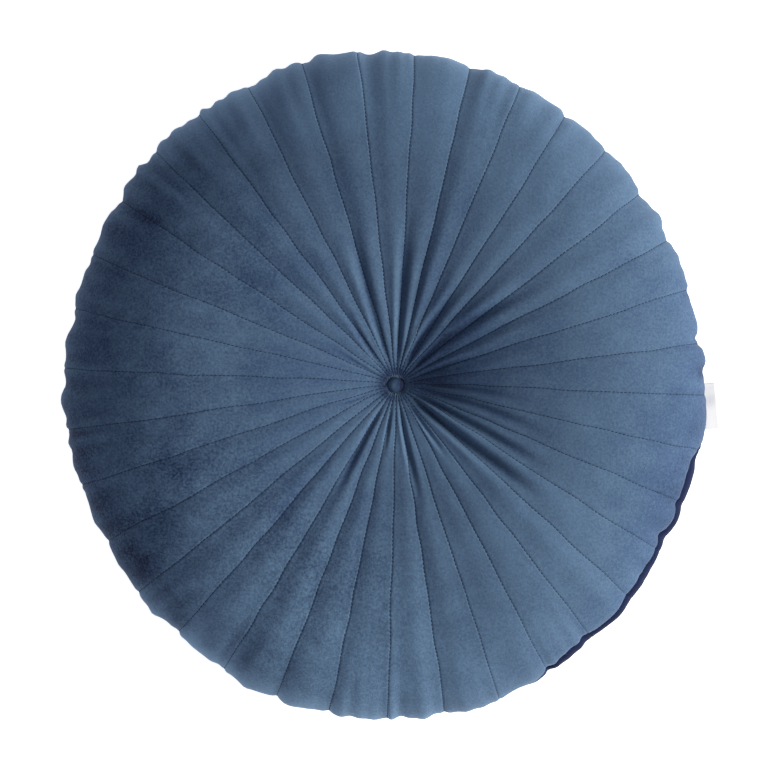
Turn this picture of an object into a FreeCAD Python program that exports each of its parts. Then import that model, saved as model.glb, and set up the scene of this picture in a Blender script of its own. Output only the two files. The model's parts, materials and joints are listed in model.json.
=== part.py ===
import FreeCAD, Part
import math
import os

# A round quilted velvet cushion, lying on its back with its face up.
# Millimetres. +Z is up, out of the face. +X points at the side that carries the label.
# The origin is on the axis of the centre tuft, at the level of the surface that it lies on.

# Outline: an ellipse whose centre stands beside the tuft
HALF_WIDTH = 196.0        # half of the outline along X
HALF_HEIGHT = 204.0       # half of the outline along Y
TUFT_OFFSET = 6.4         # the tuft's distance from the outline's centre, towards +X

# Profile: a dish from the tuft up to the crown, then a quarter ellipse down to the rim seam
THICKNESS = 100.0         # at the crown
SEAM_Z = THICKNESS / 2    # the rim seam runs at half height
CROWN_AT = 0.58           # the crown's distance from the tuft, as a share of the outline's radius
SEAT_HALF = 20.0          # half of what the tuft leaves of the thickness
SEAT_RADIUS = 6.2         # the flat that each button pulls down
DISH_POWER = 0.8          # under 1 makes the dish steepest beside the button
CONTACT_CUT = 1.2         # how deep the cushion's weight flattens the crown of its back
HOLE_RADIUS = 3.2         # the way for the twine through every layer

# Layers, from the outside in
PANEL = 1.2               # velvet
WADDING = 4.0
BACKING = 0.4             # non-woven lining
LAYER_GAP = 0.2
FILLING_GAP = 0.3

# Rim seam
SEAM_GAP = 0.7            # between the folded edges of the two panels, where the label's tape goes in
ALLOWANCE = 10.0          # width of each folded edge
ALLOWANCE_CLEAR = 0.3     # from a folded edge to the layers above it
GROOVE = ALLOWANCE + 1    # depth of the groove round the filling that takes the folded edges
SEAM_THREAD = 0.6
SEAM_THREAD_INSET = 2.0   # from the outline to the middle of the seam's thread
SEAM_THREAD_PROUD = 0.1   # how far the seam's thread stands out of the folded edges

# Quilting
LINES = 36
FIRST_LINE = 8.0          # azimuth of one stitch line, in degrees
THREAD_WIDTH = 0.7
THREAD_PROUD = 0.15       # above the velvet
THREAD_SUNK = 0.45        # below it
THREAD_REST = 0.05        # how far the weight presses it into the pile where the cushion rests
THREAD_FROM = 1.0         # spans of the profile's curve from the seat to a line's first stitch
THREAD_SHORT = 0.5        # spans from a line's last stitch to the rim seam

# Closing stitches, where the stuffing went in
CLOSING_START = 297.0     # azimuths, in degrees
CLOSING_END = 338.0
CLOSING_PITCH = 4.0
CLOSING_WIDTH = 0.6       # of one stitch, along the rim
CLOSING_DEPTH = 0.9       # into the rim
CLOSING_TALL = 3.6        # across the seam

# Folded tape label
LABEL_AZIMUTH = -4.0      # degrees
LABEL_LENGTH = 28.0       # along the rim
LABEL_REACH = 7.2         # beyond its hinge line
LABEL_THICK = SEAM_GAP    # the tape, folded double
LABEL_HINGE_OUT = 0.8     # from the outline to the line that the label bends about
LABEL_TAIL_OUT = 0.15     # from the outline to the outer end of the sewn-in tail
LABEL_TAIL_IN = 9.0       # the tail's length inside the outline

# Covered buttons, each drawn with its base at z = 0 and its crown up
BUTTON_RADIUS = 5.2
BUTTON_HEIGHT = 4.4
BUTTON_CLEAR = 0.3        # from the button's base to the velvet under it
COVER = 0.7               # velvet over the shell
SHELL = 0.5               # sheet metal
PLATE = 0.6
HEM_RADIUS = 3.3          # inner edge of the velvet turned in under the shell
SHOULDER = 1.6            # height at which the button's side starts to curve in
LOOP_WIRE = 0.4           # radius
LOOP_RADIUS = 1.6         # bend of the loop's wire
LOOP_DROP = 1.2           # from the base down to the middle of the bend

# Twine through both loops
TWINE = 0.5               # radius
TWINE_BEND = 1.4          # half the distance between its two strands
TWINE_DROP = 2.9          # from a button's base to the middle of the twine's bend
KNOT_RADIUS = 1.3
KNOT_UP = 7.0             # from the lower bend up to the knot

# Surfaces are periodic cubic splines round the tuft's axis
POLES = 36
POLE_GAIN = 3 / (2 + math.cos(2 * math.pi / POLES))   # puts the curve, not its poles, at a radius
SEW_TOLERANCE = 0.001
TURN = 360.0
UP = FreeCAD.Vector(0, 0, 1)
ORIGIN = FreeCAD.Vector(0, 0, 0)
FRONT = 1
BACK = -1

# Depth of each layer's two faces below the velvet's outer face
WADDING_TOP = PANEL + LAYER_GAP
WADDING_UNDER = WADDING_TOP + WADDING
BACKING_TOP = WADDING_UNDER + LAYER_GAP
BACKING_UNDER = BACKING_TOP + BACKING
FILLING_TOP = BACKING_UNDER + FILLING_GAP

# Heights from the seam's middle plane
EDGE = SEAM_GAP / 2
EDGE_INNER = EDGE + PANEL
LAYER_END = EDGE_INNER + ALLOWANCE_CLEAR

# Stations along the profile: 0 at the seat's edge, 1 at the crown, 2 at the rim seam
BACK_HALF = SEAM_Z + CONTACT_CUT
FLAT_RISE = (SEAM_Z - SEAT_HALF) / (BACK_HALF - SEAT_HALF)
CONTACT_INNER = 2 / math.pi * math.asin(FLAT_RISE ** (1 / DISH_POWER))
CONTACT_OUTER = 1 + 2 / math.pi * math.acos(SEAM_Z / BACK_HALF)
DISH_STATIONS = [0.08, 0.2, 0.36, 0.58, CONTACT_INNER]
RIM_STATIONS = [CONTACT_OUTER, 1.3, 1.46, 1.62, 1.76, 1.88, 2.0]
STATIONS = DISH_STATIONS + [1.0] + RIM_STATIONS
STEP = 0.001


def outline_radius(azimuth):
    """The distance from the tuft's axis to the outline."""
    along = math.cos(azimuth)
    across = math.sin(azimuth)
    square = (along / HALF_WIDTH) ** 2 + (across / HALF_HEIGHT) ** 2
    linear = 2 * TUFT_OFFSET * along / HALF_WIDTH ** 2
    rest = (TUFT_OFFSET / HALF_WIDTH) ** 2 - 1
    return (-linear + math.sqrt(linear ** 2 - 4 * square * rest)) / (2 * square)


def profile(station, radius, half):
    """Distance from the axis and height from the seam plane, at one station of the velvet."""
    crown = CROWN_AT * radius
    if station <= 1:
        rise = math.sin(math.pi / 2 * station) ** DISH_POWER
        return SEAT_RADIUS + (crown - SEAT_RADIUS) * station, SEAT_HALF + (half - SEAT_HALF) * rise
    angle = math.pi / 2 * (station - 1)
    return crown + (radius - crown) * math.sin(angle), half * math.cos(angle)


def layer_point(station, radius, side, depth, lowest):
    """A point of the profile, moved inward by depth and kept off the seam plane and the floor."""
    half = SEAM_Z if side == FRONT else BACK_HALF
    r, h = profile(station, radius, half)
    r0, h0 = profile(station - STEP, radius, half)
    length = math.hypot(r - r0, h - h0)
    inward_r = (h - h0) / length
    inward_h = (r0 - r) / length
    r += depth * inward_r
    h = max(h + depth * inward_h, lowest)
    if side == BACK:
        rest = THREAD_REST if depth < 0 else depth
        h = min(h, SEAM_Z - rest)
    return r, h


def ring(place):
    """Poles all round the axis, where place(radius) gives a distance and a height off the seam."""
    poles = []
    for step in range(POLES):
        azimuth = 2 * math.pi * step / POLES
        r, h = place(outline_radius(azimuth))
        x = POLE_GAIN * r * math.cos(azimuth)
        y = POLE_GAIN * r * math.sin(azimuth)
        poles.append(FreeCAD.Vector(x, y, SEAM_Z + h))
    return poles


def layer_rings(side, depth, lowest):
    """The rings of one face of a layer, from the twine's hole to the rim."""
    seat = side * (SEAT_HALF - depth)
    rings = [
        ring(lambda radius: (HOLE_RADIUS, seat)),
        ring(lambda radius: (SEAT_RADIUS, seat)),
    ]
    for station in STATIONS:
        def place(radius, station=station):
            r, h = layer_point(station, radius, side, depth, lowest)
            return r, side * h
        rings.append(ring(place))
    return rings


def inset_ring(inset, height):
    """A ring that follows the outline, inset from it, at a height off the seam plane."""
    return ring(lambda radius: (radius - inset, height))


def spline_face(rings):
    """A face through rings of poles, smooth across three rings or more."""
    degree = min(3, len(rings) - 1)
    spans = len(rings) - degree
    surface = Part.BSplineSurface()
    around = list(range(POLES + 1))
    ends = [degree + 1] + [1] * (spans - 1) + [degree + 1]
    poles = [[one[step] for one in rings] for step in range(POLES)]
    surface.buildFromPolesMultsKnots(
        poles, [1] * (POLES + 1), ends, around, list(range(spans + 1)), True, False, 3, degree
    )
    return surface.toShape()


def solid_from(faces):
    """One closed solid from faces that share their edges."""
    shell = Part.Compound(faces)
    shell.sewShape(SEW_TOLERANCE)
    solid = Part.Solid(shell.Shells[0])
    if solid.Volume < 0:
        solid.reverse()
    return solid


def closed_solid(strips):
    """A solid whose section is a loop of strips, each a list of rings."""
    return solid_from([spline_face(strip) for strip in strips])


def save(name, *solids):
    """Write one sub-part."""
    shape = solids[0] if len(solids) == 1 else Part.Compound(list(solids))
    shape.exportStep("parts/" + name + ".step")


def side_name(side):
    return "front" if side == FRONT else "back"


def edge_allowance(side):
    """The velvet's edge, folded in along the seam: its under face, its end and its upper face."""
    under = [inset_ring(0, side * EDGE), inset_ring(ALLOWANCE, side * EDGE)]
    end = [under[-1], inset_ring(ALLOWANCE, side * EDGE_INNER)]
    upper = [end[-1], layer_rings(side, PANEL, EDGE_INNER)[-1]]
    return [under, end, upper]


def contact_face(outer_face, inner_face):
    """The flat ring that the cushion lies on, between two spline faces of its back."""
    outer_edge = min(outer_face.Edges, key=lambda edge: (edge.BoundBox.ZMax, edge.Length))
    inner_edge = min(inner_face.Edges, key=lambda edge: (edge.BoundBox.ZMax, edge.Length))
    wires = [Part.Wire([outer_edge]), Part.Wire([inner_edge])]
    return Part.makeFace(wires, "Part::FaceMakerBullseye")


def panel(side):
    """A velvet panel with its edge folded in."""
    outside = layer_rings(side, 0, EDGE)
    inside = layer_rings(side, PANEL, EDGE_INNER)
    wall = [inside[0], outside[0]]
    strips = edge_allowance(side) + [inside, wall]
    if side == FRONT:
        return closed_solid(strips + [outside])
    dish = spline_face(outside[:-len(RIM_STATIONS) - 1])
    rim = spline_face(outside[-len(RIM_STATIONS):])
    faces = [spline_face(strip) for strip in strips]
    return solid_from(faces + [dish, rim, contact_face(rim, dish)])


def layer(side, top, under):
    """A plain layer behind a panel, which stops short of the folded edge."""
    outer = layer_rings(side, top, LAYER_END)
    inner = layer_rings(side, under, LAYER_END)
    return closed_solid([outer, [outer[-1], inner[-1]], inner, [inner[0], outer[0]]])


def make_covers():
    for side in (FRONT, BACK):
        name = side_name(side)
        save(name + "_panel", panel(side))
        save(name + "_wadding", layer(side, WADDING_TOP, WADDING_UNDER))
        save(name + "_backing", layer(side, BACKING_TOP, BACKING_UNDER))


def make_filling():
    """The loose filling as one body, with a groove round its rim for the folded edges."""
    front = layer_rings(FRONT, FILLING_TOP, LAYER_END)
    back = layer_rings(BACK, FILLING_TOP, LAYER_END)
    upper = [front[-1], inset_ring(GROOVE, LAYER_END)]
    bottom = [upper[-1], inset_ring(GROOVE, -LAYER_END)]
    lower = [bottom[-1], back[-1]]
    save("filling", closed_solid([front, upper, bottom, lower, back, [back[0], front[0]]]))


def line_poles(side, azimuth, shift, depth):
    """Poles along one stitch line, moved sideways by shift and inward by depth."""
    radius = outline_radius(azimuth)
    seat = SEAT_HALF - depth
    places = [(HOLE_RADIUS, seat), (SEAT_RADIUS, seat)]
    places += [layer_point(station, radius, side, depth, EDGE) for station in STATIONS]
    along = FreeCAD.Vector(math.cos(azimuth), math.sin(azimuth), 0)
    across = FreeCAD.Vector(-math.sin(azimuth), math.cos(azimuth), 0)
    poles = []
    for r, h in places:
        poles.append(along * r + across * shift + UP * (SEAM_Z + side * h))
    return poles


def stitch_line(side, azimuth):
    """One line of quilting thread, from beside the button to beside the rim seam."""
    corners = [
        (THREAD_WIDTH / 2, -THREAD_PROUD),
        (-THREAD_WIDTH / 2, -THREAD_PROUD),
        (-THREAD_WIDTH / 2, THREAD_SUNK),
        (THREAD_WIDTH / 2, THREAD_SUNK),
    ]
    edges = [line_poles(side, azimuth, shift, depth) for shift, depth in corners]
    spans = len(edges[0]) - 3
    knots = list(range(spans + 1))
    mults = [4] + [1] * (spans - 1) + [4]
    start = THREAD_FROM
    end = spans - THREAD_SHORT
    faces = []
    ends = [[], []]
    for here, beyond in zip(edges, edges[1:] + edges[:1]):
        surface = Part.BSplineSurface()
        surface.buildFromPolesMultsKnots(
            [here, beyond], [2, 2], mults, [0, 1], knots, False, False, 1, 3
        )
        ends[0].append(surface.value(0, start))
        ends[1].append(surface.value(0, end))
        surface.segment(0, 1, start, end)
        faces.append(surface.toShape())
    for corner_points in ends:
        faces.append(Part.Face(Part.makePolygon(corner_points + corner_points[:1])))
    return solid_from(faces)


def make_quilting():
    for side in (FRONT, BACK):
        lines = []
        for number in range(LINES):
            azimuth = math.radians(FIRST_LINE + TURN * number / LINES)
            lines.append(stitch_line(side, azimuth))
        save(side_name(side) + "_quilting_thread", *lines)


def make_rim_seam():
    """The thread that holds the two folded edges together, as one ring through both."""
    outer = SEAM_THREAD_INSET - SEAM_THREAD / 2
    inner = SEAM_THREAD_INSET + SEAM_THREAD / 2
    top = EDGE_INNER + SEAM_THREAD_PROUD
    corners = [(outer, -top), (outer, top), (inner, top), (inner, -top)]
    rings = [inset_ring(inset, height) for inset, height in corners]
    strips = [list(pair) for pair in zip(rings, rings[1:] + rings[:1])]
    save("rim_seam_thread", closed_solid(strips))


def make_closing_seam():
    """A row of short stitches across the seam, where the stuffing opening was closed."""
    middle = math.radians((CLOSING_START + CLOSING_END) / 2)
    arc = math.radians(CLOSING_END - CLOSING_START) * outline_radius(middle)
    count = int(arc / CLOSING_PITCH)
    stitches = []
    for number in range(count + 1):
        azimuth = CLOSING_START + (CLOSING_END - CLOSING_START) * number / count
        radius = outline_radius(math.radians(azimuth))
        corner = FreeCAD.Vector(
            radius - CLOSING_DEPTH + THREAD_PROUD, -CLOSING_WIDTH / 2, SEAM_Z - CLOSING_TALL / 2
        )
        stitch = Part.makeBox(CLOSING_DEPTH, CLOSING_WIDTH, CLOSING_TALL, corner)
        stitch.rotate(ORIGIN, UP, azimuth)
        stitches.append(stitch)
    save("closing_seam_thread", *stitches)


def place_at_rim(shape):
    """Move a shape drawn along +X, with the label's hinge line at x = 0, to the rim."""
    azimuth = math.radians(LABEL_AZIMUTH)
    shape.translate(FreeCAD.Vector(outline_radius(azimuth) + LABEL_HINGE_OUT, 0, SEAM_Z))
    shape.rotate(ORIGIN, UP, LABEL_AZIMUTH)
    return shape


def label_flap():
    """The part of the folded tape that stands out of the seam, round at its bend and its fold."""
    half = LABEL_THICK / 2
    far = LABEL_REACH - half
    side = LABEL_LENGTH / 2
    bend_top = FreeCAD.Vector(0, -side, half)
    bend_low = FreeCAD.Vector(0, -side, -half)
    fold_top = FreeCAD.Vector(far, -side, half)
    fold_low = FreeCAD.Vector(far, -side, -half)
    edges = [
        Part.LineSegment(bend_top, fold_top).toShape(),
        Part.Arc(fold_top, FreeCAD.Vector(LABEL_REACH, -side, 0), fold_low).toShape(),
        Part.LineSegment(fold_low, bend_low).toShape(),
        Part.Arc(bend_low, FreeCAD.Vector(-half, -side, 0), bend_top).toShape(),
    ]
    return Part.Face(Part.Wire(edges)).extrude(FreeCAD.Vector(0, LABEL_LENGTH, 0))


def make_label():
    save("side_label", place_at_rim(label_flap()))
    inner = -LABEL_HINGE_OUT - LABEL_TAIL_IN
    length = LABEL_TAIL_IN + LABEL_TAIL_OUT
    corner = FreeCAD.Vector(inner, -LABEL_LENGTH / 2, -LABEL_THICK / 2)
    tail = Part.makeBox(length, LABEL_LENGTH, LABEL_THICK, corner)
    save("side_label_tail", place_at_rim(tail))


def turned(points):
    """A solid of revolution about Z. A point given as a pair of points is an arc through them."""
    def at(pair):
        return FreeCAD.Vector(pair[0], 0, pair[1])
    edges = []
    here = points[0]
    for item in points[1:] + points[:1]:
        if isinstance(item[0], tuple):
            through, there = item
            edges.append(Part.Arc(at(here), at(through), at(there)).toShape())
        else:
            there = item
            edges.append(Part.LineSegment(at(here), at(there)).toShape())
        here = there
    return Part.Face(Part.Wire(edges)).revolve(ORIGIN, UP, TURN)


def dome(inset):
    """The button's cap of a sphere, inset from its outer face: shoulder, a point between, top."""
    radius = BUTTON_RADIUS - inset
    top = BUTTON_HEIGHT - inset
    rise = top - SHOULDER
    ball = (radius ** 2 + rise ** 2) / (2 * rise)
    lean = math.asin(radius / ball) / 2
    between = (ball * math.sin(lean), top - ball * (1 - math.cos(lean)))
    return (radius, SHOULDER), between, (0, top)


def button_cover():
    """Velvet over the shell, turned in under its rim."""
    shoulder, between, top = dome(0)
    inner_shoulder, inner_between, inner_top = dome(COVER)
    rim = shoulder[0]
    return turned([
        top, (between, shoulder), (rim, COVER), (rim - COVER, 0), (HEM_RADIUS, 0),
        (HEM_RADIUS, COVER), (rim - COVER, COVER), inner_shoulder, (inner_between, inner_top),
    ])


def button_shell():
    """The metal cap under the velvet."""
    shoulder, between, top = dome(COVER)
    inner_shoulder, inner_between, inner_top = dome(COVER + SHELL)
    return turned([
        top, (between, shoulder), (shoulder[0], COVER), (inner_shoulder[0], COVER),
        inner_shoulder, (inner_between, inner_top),
    ])


def button_plate():
    """The disc that closes the shell and holds the velvet's hem."""
    return Part.makeCylinder(
        BUTTON_RADIUS - COVER - SHELL, PLATE, FreeCAD.Vector(0, 0, COVER)
    )


def button_loop():
    """A wire loop under the plate, in the XZ plane."""
    middle = -LOOP_DROP
    right = FreeCAD.Vector(LOOP_RADIUS, 0, middle)
    left = FreeCAD.Vector(-LOOP_RADIUS, 0, middle)
    lowest = FreeCAD.Vector(0, 0, middle - LOOP_RADIUS)
    rise = UP * (COVER - middle)
    path = Part.Wire([
        Part.LineSegment(right + rise, right).toShape(),
        Part.Arc(right, lowest, left).toShape(),
        Part.LineSegment(left, left + rise).toShape(),
    ])
    section = Part.Wire([Part.makeCircle(LOOP_WIRE, right + rise, UP)])
    return path.makePipeShell([section], True, False)


def place_button(shape, side):
    """Stand a button's piece on the velvet seat of one side."""
    if side == BACK:
        shape.rotate(ORIGIN, FreeCAD.Vector(1, 0, 0), TURN / 2)
    shape.translate(UP * (SEAM_Z + side * (SEAT_HALF + BUTTON_CLEAR)))
    return shape


def make_buttons():
    makers = [
        ("cover", button_cover), ("shell", button_shell),
        ("plate", button_plate), ("loop", button_loop),
    ]
    for side in (FRONT, BACK):
        for name, maker in makers:
            save(side_name(side) + "_button_" + name, place_button(maker(), side))


def make_twine():
    """A closed loop of twine through both buttons' loops, and its knot."""
    upper = SEAM_Z + SEAT_HALF + BUTTON_CLEAR - TWINE_DROP
    lower = SEAM_Z - SEAT_HALF - BUTTON_CLEAR + TWINE_DROP
    right_low = FreeCAD.Vector(0, TWINE_BEND, lower)
    right_top = FreeCAD.Vector(0, TWINE_BEND, upper)
    left_low = FreeCAD.Vector(0, -TWINE_BEND, lower)
    left_top = FreeCAD.Vector(0, -TWINE_BEND, upper)
    path = Part.Wire([
        Part.LineSegment(right_low, right_top).toShape(),
        Part.Arc(right_top, FreeCAD.Vector(0, 0, upper + TWINE_BEND), left_top).toShape(),
        Part.LineSegment(left_top, left_low).toShape(),
        Part.Arc(left_low, FreeCAD.Vector(0, 0, lower - TWINE_BEND), right_low).toShape(),
    ])
    section = Part.Wire([Part.makeCircle(TWINE, right_low, UP)])
    twine = path.makePipeShell([section], True, False)
    save("tuft_cord", twine)
    knot = Part.makeSphere(KNOT_RADIUS, right_low + UP * KNOT_UP)
    save("tuft_cord_knot", knot.cut(twine).Solids[0])


os.makedirs("parts", exist_ok=True)
make_covers()
make_filling()
make_quilting()
make_rim_seam()
make_closing_seam()
make_label()
make_buttons()
make_twine()
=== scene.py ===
import json
import math

import bmesh
import bpy
import numpy as np
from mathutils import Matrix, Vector


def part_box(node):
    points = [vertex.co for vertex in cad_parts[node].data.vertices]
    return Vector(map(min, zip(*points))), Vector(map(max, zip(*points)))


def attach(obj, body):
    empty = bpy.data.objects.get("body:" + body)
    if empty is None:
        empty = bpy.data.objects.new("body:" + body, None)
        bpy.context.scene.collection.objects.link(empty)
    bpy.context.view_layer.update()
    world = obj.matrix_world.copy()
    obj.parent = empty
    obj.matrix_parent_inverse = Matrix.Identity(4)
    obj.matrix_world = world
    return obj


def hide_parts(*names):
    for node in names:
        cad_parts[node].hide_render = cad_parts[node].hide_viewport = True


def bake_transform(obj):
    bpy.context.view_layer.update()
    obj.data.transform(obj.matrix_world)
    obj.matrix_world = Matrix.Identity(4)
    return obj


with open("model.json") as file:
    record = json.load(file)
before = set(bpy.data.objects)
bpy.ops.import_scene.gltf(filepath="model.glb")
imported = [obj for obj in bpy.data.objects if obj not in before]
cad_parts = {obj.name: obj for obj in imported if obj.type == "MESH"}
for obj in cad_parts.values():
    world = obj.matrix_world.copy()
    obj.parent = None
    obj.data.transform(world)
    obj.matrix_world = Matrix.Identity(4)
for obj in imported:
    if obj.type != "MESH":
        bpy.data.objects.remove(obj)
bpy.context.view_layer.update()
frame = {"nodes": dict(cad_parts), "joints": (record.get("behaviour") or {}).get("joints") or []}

# ---------------------------------------------------------------- sizes, in metres

MM = 0.001
FRONT_LOW, FRONT_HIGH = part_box("front_panel")
BACK_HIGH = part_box("back_panel")[1]
FRONT_BUTTON_LOW, FRONT_BUTTON_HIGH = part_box("front_button_cover")
BACK_BUTTON_LOW, BACK_BUTTON_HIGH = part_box("back_button_cover")

HALF_X = (FRONT_HIGH.x - FRONT_LOW.x) / 2
HALF_Y = (FRONT_HIGH.y - FRONT_LOW.y) / 2
CENTRE_X = (FRONT_HIGH.x + FRONT_LOW.x) / 2
SEAM_Z = (FRONT_LOW.z + BACK_HIGH.z) / 2
FRONT_HALF = FRONT_HIGH.z - SEAM_Z
CONTACT_CUT = 1.2 * MM        # how far the round of the back would pass the ground it is pressed flat on
BACK_HALF = SEAM_Z + CONTACT_CUT
BUTTON_CLEAR = 0.3 * MM       # between a button and its seat
SEAT_HALF = FRONT_BUTTON_LOW.z - BUTTON_CLEAR - SEAM_Z
SEAT_RADIUS = 6.2 * MM        # of the flat seat that is pulled in under each button
BUTTON_RADIUS = (FRONT_BUTTON_HIGH.x - FRONT_BUTTON_LOW.x) / 2
HOLE_RADIUS = 3.2 * MM        # in the middle of each seat, for the twine
CROWN_AT = 0.58               # part of the way from the tuft to the rim where the cushion is highest
DISH_POWER = 0.8              # below 1, so the dish round the tuft is steepest at the seat
VELVET = 1.2 * MM

GORES = 36
FIRST_LINE = 8.0              # azimuth of the first stitch line, in degrees


# ---------------------------------------------------------------- small numeric helpers

def smooth(x):
    """A smooth step from 0 to 1 as x goes from 0 to 1."""
    x = np.clip(x, 0.0, 1.0)
    return x * x * (3 - 2 * x)


def window(x, low, high, soft):
    """1 between low and high, falling smoothly to 0 over soft outside them."""
    return smooth((x - low) / soft + 1) * smooth((high - x) / soft + 1)


def bell(x):
    """1 at 0, falling off to both sides."""
    return np.exp(-x * x)


def wrapped(degrees):
    """An angle brought to -180 to 180."""
    return (degrees + 180.0) % 360.0 - 180.0


def cubic_weights(p):
    """Weights of four neighbouring values for a smooth curve at part p between the middle two."""
    return [
        0.5 * (-p + 2 * p ** 2 - p ** 3),
        0.5 * (2 - 5 * p ** 2 + 3 * p ** 3),
        0.5 * (p + 4 * p ** 2 - 3 * p ** 3),
        0.5 * (-p ** 2 + p ** 3),
    ]


def near(degrees, middle, width):
    """1 at the azimuth middle, falling off over width degrees to both sides."""
    return bell(wrapped(degrees - middle) / width)


class Ripple:
    """A smooth periodic random curve: values at equal steps round a circle, joined by a cubic."""

    def __init__(self, count, seed):
        self.values = np.random.RandomState(seed).uniform(-1, 1, count)
        self.count = count

    def __call__(self, turns):
        place = (turns % 1.0) * self.count
        step = np.floor(place).astype(int)
        weights = cubic_weights(place - step)
        return sum(weights[i] * self.values[(step + i - 1) % self.count] for i in range(4))


class Patch:
    """A smooth random surface, periodic in its first direction."""

    def __init__(self, around, along, seed):
        self.values = np.random.RandomState(seed).uniform(-1, 1, (around, along))
        self.around = around
        self.along = along

    def __call__(self, turns, part):
        column = (turns % 1.0) * self.around
        return sample(self.values[..., None], column, part * (self.along - 1))[..., 0]


def sample(grid, column, row):
    """Values of a grid (columns round the tuft, rows outward) at fractional columns and rows."""
    columns, rows = grid.shape[:2]
    c0 = np.floor(column).astype(int)
    r0 = np.clip(np.floor(row).astype(int), 0, rows - 2)
    cw = cubic_weights(column - c0)
    rw = cubic_weights(row - r0)
    total = 0.0
    for i in range(4):
        for j in range(4):
            value = grid[(c0 + i - 1) % columns, np.clip(r0 + j - 1, 0, rows - 1)]
            total = total + value * (cw[i] * rw[j])[..., None]
    return total


# ---------------------------------------------------------------- the cushion's shape

# A place on the skin is a gore coordinate g, whole on each stitch line and counted round the tuft,
# and a station: 0 at the front's seat, 1 at its crown, 2 at the widest part of the rim, 3 at the
# back's crown and 4 at its seat.

# Small differences between the gores: in the azimuth of the line, in how it wavers, and in how
# full the gore is, to which side it leans and how its pile lies
LINE_JITTER = np.random.RandomState(7).uniform(-0.3, 0.3, GORES)
LINE_WAVER = Patch(GORES, 15, 11)
GORE_SWELL = np.random.RandomState(31).uniform(0.7, 1.3, GORES)
GORE_LEAN = np.random.RandomState(32).uniform(-0.12, 0.12, GORES)
GORE_TONE = np.random.RandomState(33).uniform(-1, 1, GORES)


def line_azimuth(g):
    """Azimuth in degrees, at the rim, of a gore coordinate. The lines aren't quite evenly spread."""
    even = FIRST_LINE + 360.0 / GORES * g
    a = np.radians(even)
    lean = -0.36 + 0.34 * np.cos(a) - 0.88 * np.sin(a) + 0.68 * np.sin(2 * a)
    whole = np.floor(g).astype(int)
    part = g - whole
    jitter = LINE_JITTER[whole % GORES] * (1 - part) + LINE_JITTER[(whole + 1) % GORES] * part
    return even + lean + jitter


SWIRL = 2.4 * MM              # how far the lines miss the tuft's middle
SWIRL_CORE = 14 * MM
SWIRL_END = 150 * MM          # distance from the tuft where the lines have become straight
WAVER = 0.5 * MM
WAVER_END = 200 * MM


def azimuth_at(g, r):
    """Azimuth in radians of a gore coordinate at distance r: near the tuft the lines run askew."""
    rim = np.radians(line_azimuth(g))
    fade = 1 - smooth(r / SWIRL_END)
    askew = SWIRL * np.cos(rim) * fade * smooth(r / (12 * MM)) / (r + SWIRL_CORE)
    waver = WAVER * LINE_WAVER(g / GORES, np.clip(r / WAVER_END, 0, 1)) / (r + 8 * MM)
    return rim + askew + waver


OPEN_ARC = (304.0, 342.0, 13.0)       # azimuths between which the seam shows, and its soft ends
SEAM_RISE = 0.180                     # how far up the front the seam runs there, in stations

# Gathers and crumples round the rim, on the front and on the back
RIM_RIPPLE = Ripple(126, 21)
RIM_RIPPLE_BACK = Ripple(118, 22)
RIM_CRUMPLE = Ripple(250, 25)
RIM_CRUMPLE_BACK = Ripple(240, 26)
OUTLINE_RIPPLE = Ripple(30, 23)
SEAM_RIPPLE = Ripple(64, 24)

# Where the rim stands out or is drawn in: azimuth and half width in degrees, and amount in mm
BULGES = [
    (36, 40, -2.2), (330, 6, -1.2), (268, 26, 1.6), (142, 20, 1.2), (315, 8, 1.2),
    (83, 12, 1.6), (278, 7, 1.8), (226, 20, -1.3), (107, 8, 1.4), (139, 5, -1.6),
    (233, 6, -1.4), (296, 7, 1.6), (34, 5, 1.0), (215, 4, 1.0), (-2, 1.6, 0.7),
    (0.6, 1.2, -1.0), (6.6, 0.9, 1.4), (-10, 2, 0.8), (180, 6, 1.2), (105, 4, 1.0),
]
OUTLINE_GROWN = 1.0           # mm that the puffed rim stands past the CAD's outline


def outline(azimuth):
    """Distance from the tuft to the widest part of the rim."""
    along = np.cos(azimuth)
    across = np.sin(azimuth)
    square = (along / HALF_X) ** 2 + (across / HALF_Y) ** 2
    linear = -2 * CENTRE_X * along / HALF_X ** 2
    rest = (CENTRE_X / HALF_X) ** 2 - 1
    radius = (-linear + np.sqrt(linear ** 2 - 4 * square * rest)) / (2 * square)
    degrees = np.degrees(azimuth)
    bulges = sum(amount * near(degrees, middle, width) for middle, width, amount in BULGES)
    label_gore = 2.2 * window(wrapped(degrees), -11.5, 4.5, 2.0)
    ripple = 0.9 * OUTLINE_RIPPLE(degrees / 360)
    return radius + MM * (bulges + label_gore + OUTLINE_GROWN + ripple)


def seam_station(azimuth):
    """Station of the rim seam: 2 is the widest part of the rim, less is further up the front."""
    degrees = np.degrees(azimuth) % 360
    low, high, soft = OPEN_ARC
    ripple = SEAM_RIPPLE(degrees / 360)
    rise = SEAM_RISE * (1 + 0.12 * ripple)
    return 2 - rise * window(degrees, low, high, soft) - 0.012 * ripple


def seam_at(g):
    """Station of the rim seam at a gore coordinate."""
    return seam_station(np.radians(line_azimuth(g)))


def from_seat(station):
    """The station counted from the seat on its own side: 0 at the seat, 1 at the crown, 2 at the rim."""
    return np.where(station <= 2, station, 4 - station)


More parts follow.
